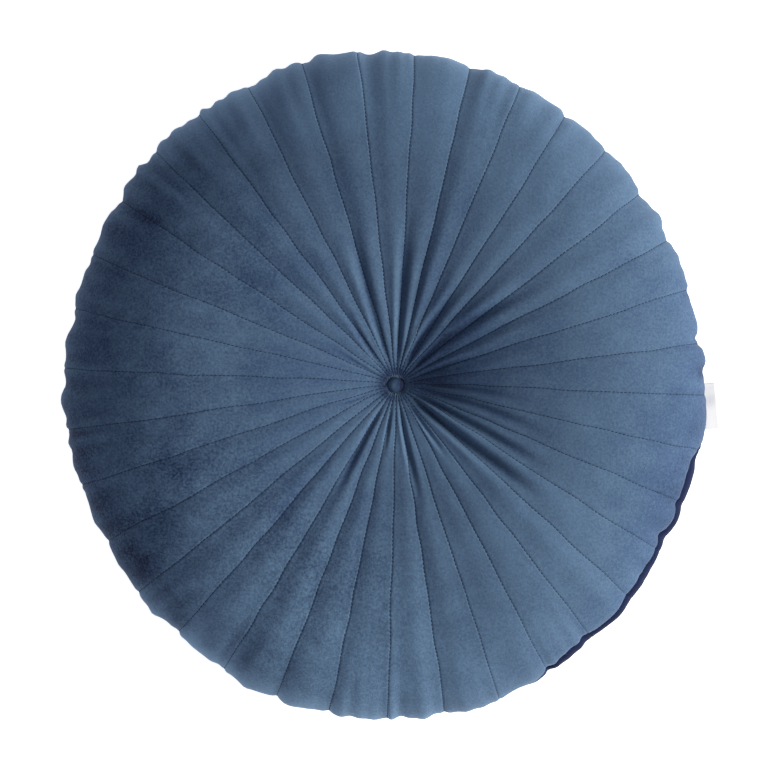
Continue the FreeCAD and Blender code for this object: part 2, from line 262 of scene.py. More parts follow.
def section(station, radius):
    """Distance from the tuft, and height off the middle plane, of the plain form."""
    front = station <= 2
    here = from_seat(station)
    half = np.where(front, FRONT_HALF, BACK_HALF)
    crown = CROWN_AT * radius
    dish = np.clip(here, 0, 1)
    angle = math.pi / 2 * np.clip(here - 1, 0, 1)
    rise = np.sin(math.pi / 2 * dish) ** DISH_POWER
    dished = here <= 1
    r = np.where(dished, SEAT_RADIUS + (crown - SEAT_RADIUS) * dish, crown + (radius - crown) * np.sin(angle))
    h = np.where(dished, SEAT_HALF + (half - SEAT_HALF) * rise, half * np.cos(angle))
    inside = np.clip(-here, 0, 1)
    r = np.where(here < 0, SEAT_RADIUS + (HOLE_RADIUS - SEAT_RADIUS) * inside, r)
    h = np.where(here < 0, SEAT_HALF, h)
    return r, np.where(front, h, -np.minimum(h, SEAM_Z))


def place_at(g, station):
    """Azimuth, distance from the tuft and height off the middle plane, on the plain form."""
    r, h = section(station, outline(np.radians(line_azimuth(g))))
    return azimuth_at(g, r), r, h


def plain(g, station):
    """Points of the plain form, their azimuth and their distance from the tuft."""
    azimuth, r, h = place_at(g, station)
    return np.stack([r * np.cos(azimuth), r * np.sin(azimuth), SEAM_Z + h], -1), azimuth, r


# Folds that the tuft draws in the front: azimuth near the button and further out, in degrees,
# where they start and end, their depth in mm, their half width in degrees, and how much higher
# their left bank stands than their right one.
FOLDS = [
    (64, 58, 10, 74, 1.8, 2.4, 0.2),
    (87, 86, 14, 122, 1.6, 2.1, 0.1),
    (109, 106, 12, 112, 1.5, 2.1, 0.1),
    (129, 124, 8, 62, 1.3, 1.8, 0.1),
    (46, 34, 10, 124, 1.3, 2.4, 0.0),
    (24, 21, 12, 60, 0.7, 1.6, 0.0),
    (-1, -6, 9, 84, 2.6, 1.8, -0.6),
    (-13, -18, 12, 108, 2.4, 2.0, -0.1),
    (-27, -29, 14, 112, 2.4, 1.9, 0.0),
    (-40, -38, 10, 128, 3.4, 2.4, 0.2),
    (-56, -55, 10, 60, 1.2, 1.4, -0.2),
    (-81, -78, 9, 84, 1.4, 1.7, -0.2),
    (-101, -100, 10, 46, 1.2, 1.4, 0.0),
    (-122, -118, 12, 96, 1.2, 2.0, 0.0),
    (152, 150, 10, 54, 0.9, 1.4, 0.0),
    (200, 198, 10, 44, 0.7, 1.4, 0.0),
]
BACK_FOLD_COUNT = 13
BACK_FOLDS = [
    (27 + 360 / BACK_FOLD_COUNT * k, 24 + 360 / BACK_FOLD_COUNT * k, 10, 70 + 9 * (k % 4), 2.2, 1.8, 0.3)
    for k in range(BACK_FOLD_COUNT)
]


def folds_at(folds, azimuth, r):
    """Height of the folds on one side."""
    degrees = np.degrees(azimuth)
    total = np.zeros(np.broadcast(azimuth, r).shape)
    for inner, outer, start, end, depth, width, step in folds:
        reach = np.clip((r / MM - start) / (end - start), 0, 1)
        middle = inner + (outer - inner) * smooth(reach)
        x = wrapped(degrees - middle) / (width * (0.75 + 22 * MM / np.maximum(r, 12 * MM)))
        fade = smooth((r / MM - 5) / (start + 14)) * smooth((end - r / MM) / (0.6 * (end - start)))
        banks = 0.20 * bell((np.abs(x) - 1.9) / 0.9)
        banks = banks + 0.5 * step * (bell((x - 1.7) / 0.9) - bell((x + 1.7) / 0.9))
        total = total + MM * depth * fade * (banks - bell(x))
    return total


def gore_part(g):
    """Where in its gore a place is, from 0 to 1, and how far from the nearer line."""
    part = g - np.floor(g)
    return part, np.minimum(part, 1 - part)


def off_seat(r):
    """0 on the button's seat, rising to 1 a little way outside it."""
    return smooth((r - SEAT_RADIUS) / (16 * MM))


def swell(g, station, azimuth, r):
    """How far each gore stands out between its stitch lines, from the wadding and the filling."""
    which = np.floor(g).astype(int) % GORES
    part = gore_part(g)[0]
    bent = np.clip(part + GORE_LEAN[which] * 4 * part * (1 - part), 0, 1)
    pillow = 0.25 * 4 * bent * (1 - bent) + 0.75 * np.sin(math.pi * bent) ** 2
    here = from_seat(station)
    degrees = np.degrees(azimuth)
    drawn = 0.6 * bell((r / MM - 62) / 28) * (0.35 + 0.65 * np.cos(azimuth - math.radians(60)))
    full = 1 + 0.9 * near(degrees, 232, 24) + 0.3 * near(degrees, 100, 40) - 0.3 * near(degrees, -10, 60)
    height = 0.5 + 0.3 * smooth(here) + 0.4 * smooth((here - 1.3) / 0.6)
    height = height * full * smooth(r / MM / 85) + np.maximum(drawn, 0)
    lip = 2.0 * smooth((r / MM - 4.9) / 1.2) * bell(np.maximum(r / MM - 7.6, 0) / 4.5)
    return MM * (height * pillow * GORE_SWELL[which] * off_seat(r) + lip)


STATION_STEP = 68             # mm that count as one station where something fades away from the seam


def stitched(g, station, azimuth, r):
    """The sharp dips along the stitch lines and the rim seam, and the gathers beside the seam."""
    from_line = gore_part(g)[1] * 2 * math.pi * r / GORES / MM
    line = -0.27 * bell(from_line / 0.5) * smooth((r / MM - 7) / 3)
    seam = seam_at(g)
    away = np.abs(station - seam) * STATION_STEP
    turns = azimuth / (2 * math.pi)
    degrees = np.degrees(azimuth)
    low, high, soft = OPEN_ARC
    opened = window(degrees % 360, low, high, soft)
    other = np.where(station <= seam, 0.0, smooth(away / (12 + 30 * opened)))
    ripple = RIM_RIPPLE(turns) * (1 - other) + RIM_RIPPLE_BACK(turns) * other
    small = RIM_CRUMPLE(turns) * (1 - other) + RIM_CRUMPLE_BACK(turns) * other
    rough = 0.9 + 0.6 * window(degrees % 360, 98, 170, 12) - 0.4 * opened
    gathers = rough * (1.5 * ripple * np.exp(-away / 24) + 1.2 * small * np.exp(-away / 16))
    level = (1 - 0.75 * near(degrees, -2, 4)) * (1 - 0.75 * opened)
    notch = -1.3 * level * bell(from_line / 1.8) * np.exp(-away / 8)
    rim = -2.2 * np.exp(-away / 1.5) + tucks_at(degrees, away)
    return MM * (line + gathers + notch + rim)


# Where the rim is tucked in most: azimuth and half width in degrees, and depth in mm
TUCKS = [
    (2.6, 0.9, 3.2), (8.9, 0.55, 3.8), (17.5, 0.7, 1.6), (30.5, 0.8, 2.4), (51, 0.8, 1.2),
    (88.5, 0.7, 1.4), (113, 0.6, 1.2), (131, 0.7, 1.6), (148, 0.7, 1.6), (170, 0.8, 1.6),
    (199, 0.6, 1.2), (228, 0.8, 2.0), (258, 0.7, 1.6), (298.5, 0.8, 2.2), (306.5, 0.9, 2.0),
    (322, 0.7, 1.0), (330.5, 1.0, 3.0), (337, 0.7, 1.4), (349, 0.6, 0.9),
]


def tucks_at(degrees, away):
    """Height in mm of the tucks, which are deepest at the seam."""
    return -sum(depth * near(degrees, middle, width) for middle, width, depth in TUCKS) * np.exp(-away / 10)


SIM_PER_GORE = 8              # columns of the settling skin in a gore
SIM_ROWS = 89                 # and its rows from seat to seat
NUDGE = 0.004                 # a short step in g and in station, for the skin's slope
SETTLED = None                # how the skin moves when it settles, once that is known


def form(g, station):
    """Points of the soft form before its sharp details: the plain form, swollen and settled."""
    points, azimuth, r = plain(g, station)
    if SETTLED is not None:
        row = np.clip(station, 0, 4) * (SIM_ROWS - 1) / 4.0
        points = points + sample(SETTLED, g * SIM_PER_GORE, row)
    return points, azimuth, r


def skin(g, station):
    """Points on the outside of the cushion, and the outward normals there."""
    g = g + 0.0 * station
    station = station + 0.0 * g
    points, azimuth, r = form(g, station)
    around = form(g + NUDGE, station)[0] - form(g - NUDGE, station)[0]
    along = form(g, station + NUDGE)[0] - form(g, station - NUDGE)[0]
    n = np.cross(along, around)
    n = n / np.maximum(np.linalg.norm(n, axis=-1, keepdims=True), 1e-12)
    folds = np.where(station <= 2, folds_at(FOLDS, azimuth, r), folds_at(BACK_FOLDS, azimuth, r))
    high = folds * off_seat(r) + swell(g, station, azimuth, r) + stitched(g, station, azimuth, r)
    high = np.where((station < -0.3) | (station > 4.3), 0.0, high)
    return points + n * high[..., None], n


SIM_FRAMES = 20
MOST_MOVED = 7 * MM
SURPLUS = 0.035               # how much too large the velvet is cut
TIGHTENED = 0.004             # how much smaller the skin starts, so that it has somewhere to swell to
ON_LINE, ON_SEAM, ON_SEAT = 0.35, 0.5, 1.0      # how firmly the skin is held in these places


def settled_skin():
    """How the stuffed skin moves from the plain form under the filling's pressure. It is cut a
    little full, so it buckles between the stitch lines and along the rim seam."""
    columns = np.arange(GORES * SIM_PER_GORE) / SIM_PER_GORE
    g, station = np.meshgrid(columns, np.linspace(0, 4, SIM_ROWS), indexing="ij")
    start, _, r = plain(g, station)
    tight = start.copy()
    tight[..., :2] *= 1 - TIGHTENED * smooth(r / (100 * MM))[..., None]
    points = tight.transpose(1, 0, 2).reshape(-1, 3)
    faces = turned_out(points, torus_faces(SIM_ROWS, len(columns), False))
    mesh = bpy.data.meshes.new("settling_skin")
    mesh.from_pydata(points.tolist(), [], faces.tolist())
    piece = bpy.data.objects.new("settling_skin", mesh)
    bpy.context.scene.collection.objects.link(piece)
    here = from_seat(station)
    hold = np.where(np.abs(g - np.round(g)) < 0.01, ON_LINE, 0.0)
    hold = np.where(np.abs(station - 2) < 0.01, ON_SEAM, hold)
    hold = np.where(here < 0.12, ON_SEAT, hold).transpose(1, 0).reshape(-1)
    group = piece.vertex_groups.new(name="held")
    for value in (ON_LINE, ON_SEAM, ON_SEAT):
        group.add([int(i) for i in np.where(np.isclose(hold, value))[0]], value, "REPLACE")
    piece.shape_key_add(name="made")
    cut = piece.shape_key_add(name="cut")
    uneven = 1 + 0.4 * Patch(48, 12, 61)(g / GORES, station / 4)
    fuller = 1 + SURPLUS * smooth((here - 0.35) / 0.9) * uneven
    larger = start * np.stack([fuller, fuller, np.ones_like(fuller)], -1)
    cut.data.foreach_set("co", larger.transpose(1, 0, 2).reshape(-1))
    cut.value = 0
    cloth = piece.modifiers.new("cloth", "CLOTH")
    cloth.settings.quality = 6
    cloth.settings.mass = 0.3
    cloth.settings.tension_stiffness = 25
    cloth.settings.compression_stiffness = 25
    cloth.settings.shear_stiffness = 8
    cloth.settings.bending_stiffness = 0.6
    cloth.settings.air_damping = 4
    cloth.settings.use_pressure = True
    cloth.settings.uniform_pressure_force = 4
    cloth.settings.effector_weights.gravity = 0
    cloth.settings.vertex_group_mass = "held"
    cloth.settings.pin_stiffness = 1.0
    cloth.settings.rest_shape_key = cut
    cloth.collision_settings.use_collision = False
    cloth.collision_settings.use_self_collision = False
    cloth.point_cache.frame_start = 1
    cloth.point_cache.frame_end = SIM_FRAMES
    scene = bpy.context.scene
    for number in range(1, SIM_FRAMES + 1):
        scene.frame_set(number)
    done = piece.evaluated_get(bpy.context.evaluated_depsgraph_get()).to_mesh()
    result = np.empty(len(done.vertices) * 3)
    done.vertices.foreach_get("co", result)
    scene.frame_set(1)
    bpy.data.objects.remove(piece)
    moved = result.reshape(SIM_ROWS, len(columns), 3).transpose(1, 0, 2) - start
    size = np.linalg.norm(moved, axis=-1, keepdims=True)
    return moved * (MOST_MOVED * np.tanh(size / MOST_MOVED) / np.maximum(size, 1e-9))


# ---------------------------------------------------------------- meshes

def make_object(name, points, faces, material):
    """A smooth shaded piece. Its faces are an array of quads or a list of mixed faces."""
    mesh = bpy.data.meshes.new(name)
    mesh.from_pydata(points.tolist(), [], faces if isinstance(faces, list) else faces.tolist())
    mesh.update()
    mesh.polygons.foreach_set("use_smooth", [True] * len(mesh.polygons))
    piece = bpy.data.objects.new(name, mesh)
    bpy.context.scene.collection.objects.link(piece)
    mesh.materials.append(material)
    return piece


def set_values(piece, name, values):
    """One number at each vertex, which the material reads by its name."""
    piece.data.attributes.new(name, "FLOAT", "POINT").data.foreach_set("value", values)


def shade_button_sides(piece, low, high):
    """Painted shade and painted light on a small covered piece: low (darker) on its +X side, high (lighter)
    on its -X side.
    """
    places = np.empty(len(piece.data.vertices) * 3)
    piece.data.vertices.foreach_get("co", places)
    x = places.reshape(-1, 3)[:, 0] / BUTTON_RADIUS
    set_values(piece, "pile_and_painted_shade", low + (high - low) * (0.5 - 0.5 * x))
    set_values(piece, "matted", 0.0 * x)


def belongs(piece, body, slot, *nodes):
    """Puts a piece on its body, in place of its CAD nodes."""
    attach(piece, body)
    if nodes:
        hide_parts(*nodes)


def gore_columns(per_gore, tight):
    """Gore coordinates of a mesh's columns, closer together beside each stitch line."""
    part = np.arange(per_gore) / per_gore
    eased = part - tight / (2 * math.pi) * np.sin(2 * math.pi * part)
    return np.concatenate([k + eased for k in range(GORES)])


def torus_faces(rings, columns, close):
    """Quads between rings of vertices laid one after another, round the circle."""
    c = np.arange(columns)
    n = (c + 1) % columns
    quads = []
    for row in range(rings if close else rings - 1):
        low = row * columns
        high = (row + 1) % rings * columns
        quads.append(np.stack([low + c, low + n, high + n, high + c], -1))
    return np.concatenate(quads)


def ring_mesh(name, rings, material):
    """A closed mesh of columns by rows of points, whose last row joins the first."""
    points = rings.transpose(1, 0, 2).reshape(-1, 3)
    faces = turned_out(points, torus_faces(rings.shape[1], rings.shape[0], True))
    return make_object(name, points, faces, material)


def turned_out(points, faces):
    """The faces, turned over if the closed mesh they make is inside out."""
    a, b, c = (points[faces[:, i]] for i in range(3))
    d = points[faces[:, 3]]
    volume = np.einsum("ij,ij->i", a, np.cross(b, c) + np.cross(c, d)).sum()
    return faces if volume > 0 else faces[:, ::-1]


def station_of(side, part, seam):
    """Station of a place on one side: part runs from -1 at the twine's hole, over 0 at the seat's
    edge, to 1 at the rim seam."""
    outward = np.where(part < 0, part, part * (seam if side == "front" else 4 - seam))
    return outward if side == "front" else 4 - outward


def layer(side, columns, parts, depth):
    """Points of one side's skin, moved inward by depth."""
    points, n = skin(columns[:, None], station_of(side, parts[None, :], seam_at(columns)[:, None]))
    points = points - n * depth
    points[..., 2] = np.maximum(points[..., 2], depth)
    return points, n


HEM = ((4, 0.15), (8, 0.15), (8, 1.2), (4, 1.3))     # the edge turned in at the seam: mm inward, mm up
UNSEEN_NAP = -0.6


def panel_mesh(name, side, material):
    """A velvet panel: its face, its edge turned in along the rim seam, and its wrong side."""
    columns = gore_columns(24, 0.72)
    on_seat = [-1.0, -0.6, -0.3, -0.22, -0.15, -0.07]
    outer_parts = np.concatenate([on_seat, np.linspace(0, 0.93, 78), np.linspace(0.936, 1, 16)])
    inner_parts = np.concatenate([[-1.0, -0.4], np.linspace(0, 0.97, 9)])
    outer, outer_n = layer(side, columns, outer_parts, 0.0)
    inner = layer(side, columns, inner_parts, VELVET + 0.9 * MM)[0]
    edge = outer[:, -1:]
    inward = -outer_n[:, -1:]
    lift = np.array([0, 0, 1.0 if side == "front" else -1.0])
    hem = [edge + inward * reach * MM + lift * high * MM for reach, high in HEM]
    rings = np.concatenate([outer, *hem, inner[:, ::-1]], 1)
    piece = ring_mesh(name, rings, material)
    stations = station_of(side, outer_parts[None, :], seam_at(columns)[:, None])
    unseen = (len(columns), rings.shape[1] - len(outer_parts))
    # The first attribute holds crushed pile with painted shade and painted light; the second holds the worn
    # grain
    for layer_name, seen, rest in (
        ("pile_and_painted_shade", pile_tone_and_painted_shade(side, columns[:, None], stations), UNSEEN_NAP),
        ("matted", matted(columns[:, None], stations), 0.0),
    ):
        values = np.concatenate([seen, np.full(unseen, rest)], 1)
        set_values(piece, layer_name, values.transpose(1, 0).reshape(-1))
    return piece


# How unevenly the pile is crushed, in broad patches and in small ones
CRUSH_BROAD = Patch(26, 7, 71)
CRUSH_SMALL = Patch(90, 22, 72)

# Painted shade and painted light on the front pile: azimuth and half width in degrees, distance and half
# depth in
# mm, and amount: below 0 painted shade, above 0 painted light.
PAINTED_SHADE_AND_LIGHT = [
    (12, 44, 24, 26, -1.0),
    (0, 360, 5.6, 1.5, 1.8),
    (0, 360, 9.0, 3.0, -1.0),
    (180, 100, 7.0, 1.5, -2.4),
    (0, 50, 8.0, 2.5, 1.7),
    (40, 9, 46, 22, -0.6),
    (-47, 6, 58, 26, -0.4),
    (288, 34, 28, 22, 1.1),
    (318, 22, 42, 20, 0.8),
    (315, 20, 64, 18, 0.7),
    (78, 16, 36, 14, 0.5),
    (178, 45, 62, 48, -0.4),
    (128, 24, 98, 20, -0.3),
    (-20, 32, 192, 30, -0.8),
    (75, 32, 190, 38, 0.6),
    (112, 24, 190, 38, 0.6),
    (248, 26, 183, 45, 1.1),
    (274, 16, 170, 45, 0.3),
    (190, 46, 208, 15, -0.6),
    (148, 9, 182, 17, -0.6),
    (161, 6, 186, 20, -0.5),
    (177, 6, 172, 26, -0.4),
    (196, 13, 196, 11, -0.6),
    (214, 12, 192, 13, -0.6),
    (8, 14, 198, 12, -0.5),
    (308, 20, 108, 30, 0.45),
    (243, 24, 202, 12, 1.1),
    (243, 18, 204, 7, 0.8),
    (100, 16, 204, 7, 0.6),
    (122, 14, 199, 11, 1.2),
    (2.4, 1.2, 189, 5, -0.7),
    (9.2, 0.8, 194, 5, -0.8),
    (5, 1.2, 194, 5, 0.3),
    (17.3, 0.9, 192, 6, -0.8),
    (228, 1.2, 196, 8, -1.0),
    (231, 1.5, 194, 8, 0.8),
    (258, 0.8, 196, 7, -0.9),
    (261, 1.5, 192, 9, 0.5),
]

# Painted highlights along the rim, where the pile would catch the light: azimuth and half width in degrees,
# and amount
RIM_PAINTED_HIGHLIGHTS = [
    (70, 16, 0.4), (100, 24, 0.9), (131, 13, 1.2), (228, 15, 1.0), (250, 16, 0.8), (272, 10, 0.3),
]


def pile_tone_and_painted_shade(side, g, station):
    """How the pile is crushed and toned, with painted shade and painted light on top: above 0 lighter, below
    0 darker.
    """
    azimuth, distance_out, _ = place_at(g, station)
    r = distance_out / MM
    degrees = np.degrees(azimuth)
    which = np.floor(g).astype(int) % GORES
    rubbed = 0.6 + 0.8 * near(degrees, 185, 60) * smooth((r - 60) / 80)
    crushed = 0.24 * CRUSH_BROAD(g / GORES, r / 210) + 0.20 * CRUSH_SMALL(g / GORES, r / 210)
    shade = 0.10 * GORE_TONE[which] + crushed * rubbed
    if side == "front":
        # Painted shade and painted light on the front
        for middle, width, distance, depth, amount in PAINTED_SHADE_AND_LIGHT:
            shade = shade + amount * near(degrees, middle, width) * bell((r - distance) / depth)
        # Painted highlights along the rim
        for middle, width, amount in RIM_PAINTED_HIGHLIGHTS:
            shade = shade + amount * near(degrees, middle, width) * bell((2 - station) / 0.16)
        # Painted shade and painted light on the puckers near the rim, following their crumple
        pucker_shading = 0.45 * RIM_CRUMPLE(azimuth / (2 * math.pi)) * smooth((r - 160) / 30)
        left = window(degrees % 360, 60, 260, 20)
        pucker_shading = pucker_shading * (0.3 + 0.7 * left + 0.9 * near(degrees, 240, 16))
        # Painted shade in the fold valleys, and a little painted light on their banks
        fold_shading = np.minimum(folds_at(FOLDS, azimuth, distance_out) / MM, 0.3)
        fold_shading = fold_shading * (1 - 0.8 * near(degrees, 22, 34))
        return shade + pucker_shading + 0.28 * fold_shading
    # On the back: painted shade all over, and a band of deeper painted shade along the seam where it shows
    # past the front
    low, high, soft = OPEN_ARC
    away = station - seam_station(azimuth)
    opened = window(degrees % 360, low, high, soft)
    return shade - 0.15 - opened * (1.9 * bell(away / 0.16) + 0.9 * bell(away / 0.06))


def matted(g, station):
    """Where the pile is crushed and its grain coarser: 1 on the worn side, 0 where it is sleek."""
    azimuth, r, _ = place_at(g, station)
    degrees = np.degrees(azimuth)
    worn = window(wrapped(degrees - 205), -59, 58, 32) * smooth((r / MM - 50) / 90)
    return (0.6 + 0.4 * window(degrees % 360, 206, 246, 24)) * worn


def layer_mesh(name, side, top, bottom, last, material):
    """One of the layers quilted under a panel, between two depths."""
    columns = gore_columns(6, 0.5)
    parts = np.concatenate([[-0.95], np.linspace(0, last, 22)])
    upper = layer(side, columns, parts, top)[0]
    lower = layer(side, columns, parts, bottom)[0]
    return ring_mesh(name, np.concatenate([upper, lower[:, ::-1]], 1), material)


def filling_mesh(name, depth, material):
    """The fibre filling, round the channel that the twine runs through."""
    columns = gore_columns(6, 0.5)
    points, n = skin(columns[:, None], np.linspace(0, 4, 50)[None, :])
    return ring_mesh(name, points - n * depth, material)


def threads_mesh(name, starts, ends, normals, half_width, height, dip, material):
    """Short stitches: each a thread that comes up at its start, lies on the skin and goes down."""
    along = ends - starts
    length = np.linalg.norm(along, axis=1, keepdims=True)
    along = along / length
    across = np.cross(normals, along)
    steps = np.array([0.0, 0.18, 0.5, 0.82, 1.0])
    rise = np.array([-1.0, 0.35, 1.0, 0.35, -1.0])
    thick = np.array([0.75, 1.0, 1.0, 1.0, 0.75])
    sides = 6
    turn = np.linspace(0, 2 * math.pi, sides, endpoint=False) + math.pi / sides
    centre = starts[:, None] + along[:, None] * (steps[None, :, None] * length[:, None])
    lift = np.where(rise < 0, rise * dip, rise * height * 0.25)
    centre = centre + normals[:, None] * lift[None, :, None]
    ring = across[:, None, None] * (np.cos(turn) * half_width)[None, None, :, None]
    ring = ring + normals[:, None, None] * (np.sin(turn) * height)[None, None, :, None]
    points = centre[:, :, None] + ring * thick[None, :, None, None]
    each = len(steps) * sides
    far = each - sides
    first_cap = np.array([[3, 2, 1, 0], [5, 4, 3, 0]])
    last_cap = far + np.array([[0, 1, 2, 3], [0, 3, 4, 5]])
    one = np.concatenate([torus_faces(len(steps), sides, False), first_cap, last_cap])
    base = np.arange(len(starts))[:, None, None] * each
    return make_object(name, points.reshape(-1, 3), (base + one[None]).reshape(-1, 4), material)


def along_run(places, run, values):
    """Vectors read off between those known at the distances in run."""
    return np.stack([np.interp(places, run, values[:, i]) for i in range(3)], -1)


STITCH_PITCH = 2.5 * MM
STITCH_LENGTH = 2.05 * MM


def quilting_stitches(name, side, material):
    """The dashed rows of lockstitches that quilt a panel, one row along each gore's edge."""
    random = np.random.RandomState(41 if side == "front" else 42)
    fine = np.linspace(0.015, 0.985, 900)
    starts, ends, normals = [], [], []
    for k in range(GORES):
        g = np.full(fine.shape, float(k))
        points, n = skin(g, station_of(side, fine, seam_at(g)))
        run = np.concatenate([[0], np.cumsum(np.linalg.norm(np.diff(points, axis=0), axis=1))])
        count = int((run[-1] - STITCH_LENGTH) / STITCH_PITCH)
        first = np.arange(count) * STITCH_PITCH + random.uniform(0, 0.5) * MM
        first = first + random.uniform(-0.12, 0.12, count) * MM
        first = np.clip(first, 0, run[-1] - STITCH_LENGTH)
        start = along_run(first, run, points)
        end = along_run(first + STITCH_LENGTH, run, points)
        normal = along_run(first + STITCH_LENGTH / 2, run, n)
        normal = normal / np.linalg.norm(normal, axis=1, keepdims=True)
        slant = np.cross(normal, end - start) / STITCH_LENGTH * 0.12 * MM
        starts.append(start - slant)
        ends.append(end + slant)
        normals.append(normal)
    rows = (np.concatenate(v) for v in (starts, ends, normals))
    return threads_mesh(name, *rows, 0.23 * MM, 0.22 * MM, 0.35 * MM, material)


def seam_stitches(name, material):
    """The row of stitches along the rim seam, sunk between the two panels' edges."""
    count = 420
    g = np.arange(count) * GORES / count
    places = []
    for shift in (0.0, 0.8):
        at = g + shift * GORES / count
        points, n = skin(at, seam_at(at))
        places.append(points - n * 0.6 * MM)
    return threads_mesh(name, places[0], places[1], n, 0.3 * MM, 0.3 * MM, 0.4 * MM, material)


def closing_stitches(name, material):
    """The ladder stitches that close the seam after the cushion is filled."""
    degrees = np.arange(300.0, 336.0, 1.15)
    g = (degrees - FIRST_LINE) / (360.0 / GORES)
    station = seam_at(g)
    first, n = skin(g, station - 0.012)
    second = skin(g + 0.02, station + 0.012)[0]
    return threads_mesh(name, first, second, n, 0.25 * MM, 0.2 * MM, 0.7 * MM, material)


COVER = 0.7 * MM              # of a button's cover, at its top


def button_mesh(name, rim_z, top_z, sign, material):
    """A button covered with velvet: a full dome, gathered where the cover is tucked under it."""
    height = abs(top_z - rim_z)
    count = 96
    turn = np.linspace(0, 2 * math.pi, count, endpoint=False)
    gather = Ripple(22, 51 if sign > 0 else 52)(turn / (2 * math.pi))
    part = np.concatenate([np.linspace(0.06, 0.9, 16), np.linspace(0.92, 1.0, 8)])

    def ring(wide, high):
        return np.stack([wide * np.cos(turn), wide * np.sin(turn), rim_z + sign * high + 0 * turn], -1)

    def domed(p):
        return (1 - p ** 3.2) ** 0.7

    rings = [ring(BUTTON_RADIUS * p - 0.16 * MM * (1 + gather) * p ** 8, height * domed(p)) for p in part]
    rings += [ring((BUTTON_RADIUS - 0.72 * MM) * p, (height - COVER) * domed(p)) for p in part[::-3]]
    middles = [[0, 0, rim_z + sign * high] for high in (height, height - COVER)]
    points = np.concatenate(rings + [middles])
    faces = torus_faces(len(rings), count, False).tolist()
    top = len(points) - 2
    last = (len(rings) - 1) * count
    faces += [[top, (c + 1) % count, c] for c in range(count)]
    faces += [[top + 1, last + c, last + (c + 1) % count] for c in range(count)]
    piece = make_object(name, points, faces, material)
    work = bmesh.new()
    work.from_mesh(piece.data)
    bmesh.ops.recalc_face_normals(work, faces=work.faces)
    work.to_mesh(piece.data)
    work.free()
    return piece


LABEL_AZIMUTH = math.radians(-4.0)
LABEL_TILT = math.radians(9.5)          # how far it is sewn in askew
LABEL_LENGTH = 28.6 * MM
LABEL_REACH = 7.8 * MM
LABEL_TAIL = 9.0 * MM                   # sewn in
LABEL_THICK = 0.24 * MM                 # of one layer of the tape
LABEL_LEAF = 0.30 * MM                  # half the distance between its two layers


def label_frame():
    """The middle of the line where the label leaves the seam, the axis out of the rim there, and
    the label's own outward and length directions."""
    axis = np.array([math.cos(LABEL_AZIMUTH), math.sin(LABEL_AZIMUTH), 0.0])
    hinge = np.array(joint_of("label_bend")["pos_m"])
    lean = LABEL_AZIMUTH + LABEL_TILT
    outward = np.array([math.cos(lean), math.sin(lean), 0.0])
    lengthwise = np.array([-math.sin(lean), math.cos(lean), 0.0])
    return hinge, axis, outward, lengthwise


def joint_of(name):
    return next(joint for joint in frame["joints"] if joint["name"] == name)


def label_mesh(name, material):
    """A woven tape folded in half, its fold outward and its two ends sewn into the rim seam."""
    hinge, _, outward, lengthwise = label_frame()
    fold = LABEL_REACH - LABEL_LEAF
    run = np.linspace(-LABEL_TAIL, fold, 26)
    path = [(u, LABEL_LEAF, 0.0, 1.0) for u in run]
    for t in np.linspace(math.pi / 2, -math.pi / 2, 9)[1:-1]:
        path.append((fold + LABEL_LEAF * math.cos(t), LABEL_LEAF * math.sin(t), math.cos(t), math.sin(t)))
    path += [(u, -LABEL_LEAF, 0.0, -1.0) for u in run[::-1]]
    path = np.array(path)
    columns = np.linspace(-0.5, 0.5, 33)
    up = np.array([0, 0, 1.0])
    rings = []
    for half in (0.5, -0.5):
        u = path[:, 0] + half * LABEL_THICK * path[:, 2]
        w = path[:, 1] + half * LABEL_THICK * path[:, 3]
        free = smooth(u / LABEL_REACH)
        wave = 0.45 * np.sin(columns * 7.0 + 0.6) + 0.15 * np.sin(columns * 16.0)
        crease = 0.25 * bell((columns - 0.36) / 0.05)
        lift = w[None, :] + MM * (wave + crease)[:, None] * free[None, :]
        along = lengthwise * (columns * LABEL_LENGTH)[:, None, None]
        rings.append(hinge + outward * u[None, :, None] + along + up * lift[..., None])
    outer, inner = rings
    rows = outer.shape[1]
    loop = np.concatenate([outer, inner[:, ::-1]], 1)
    count = loop.shape[1]
    faces = []
    for c in range(len(columns) - 1):
        for r in range(count):
            q = (r + 1) % count
            faces.append([c * count + r, c * count + q, (c + 1) * count + q, (c + 1) * count + r])
    for c in (0, len(columns) - 1):
        for r in range(rows - 1):
            quad = [c * count + r, c * count + r + 1, (c + 1) * count - 2 - r, (c + 1) * count - 1 - r]
            faces.append(quad if c else quad[::-1])
    points = loop.reshape(-1, 3)
    return make_object(name, points, turned_out(points, np.array(faces)), material)


# ---------------------------------------------------------------- materials

def node_material(name):
    material = bpy.data.materials.new(name)
    material.use_nodes = True
    nodes = material.node_tree.nodes
    links = material.node_tree.links
    shader = nodes["Principled BSDF"]
    return material, nodes, links, shader


def add_noise(nodes, links, scale, detail, roughness, stretch=(1.0, 1.0, 1.0)):
    """Noise laid out in the object's own coordinates, stretched along an axis where it is below 1."""
    noise = nodes.new("ShaderNodeTexNoise")
    noise.inputs["Scale"].default_value = scale
    noise.inputs["Detail"].default_value = detail
    noise.inputs["Roughness"].default_value = roughness
    mapping = nodes.new("ShaderNodeMapping")
    mapping.inputs["Scale"].default_value = stretch
    links.new(nodes.new("ShaderNodeTexCoord").outputs["Object"], mapping.inputs["Vector"])
    links.new(mapping.outputs["Vector"], noise.inputs["Vector"])
    return noise.outputs["Fac"]


def add_range(nodes, links, value, from_low, from_high, to_low, to_high):
    node = nodes.new("ShaderNodeMapRange")
    node.interpolation_type = "SMOOTHSTEP"
    node.inputs["From Min"].default_value = from_low
    node.inputs["From Max"].default_value = from_high
    node.inputs["To Min"].default_value = to_low
    node.inputs["To Max"].default_value = to_high
    links.new(value, node.inputs["Value"])
    return node.outputs["Result"]


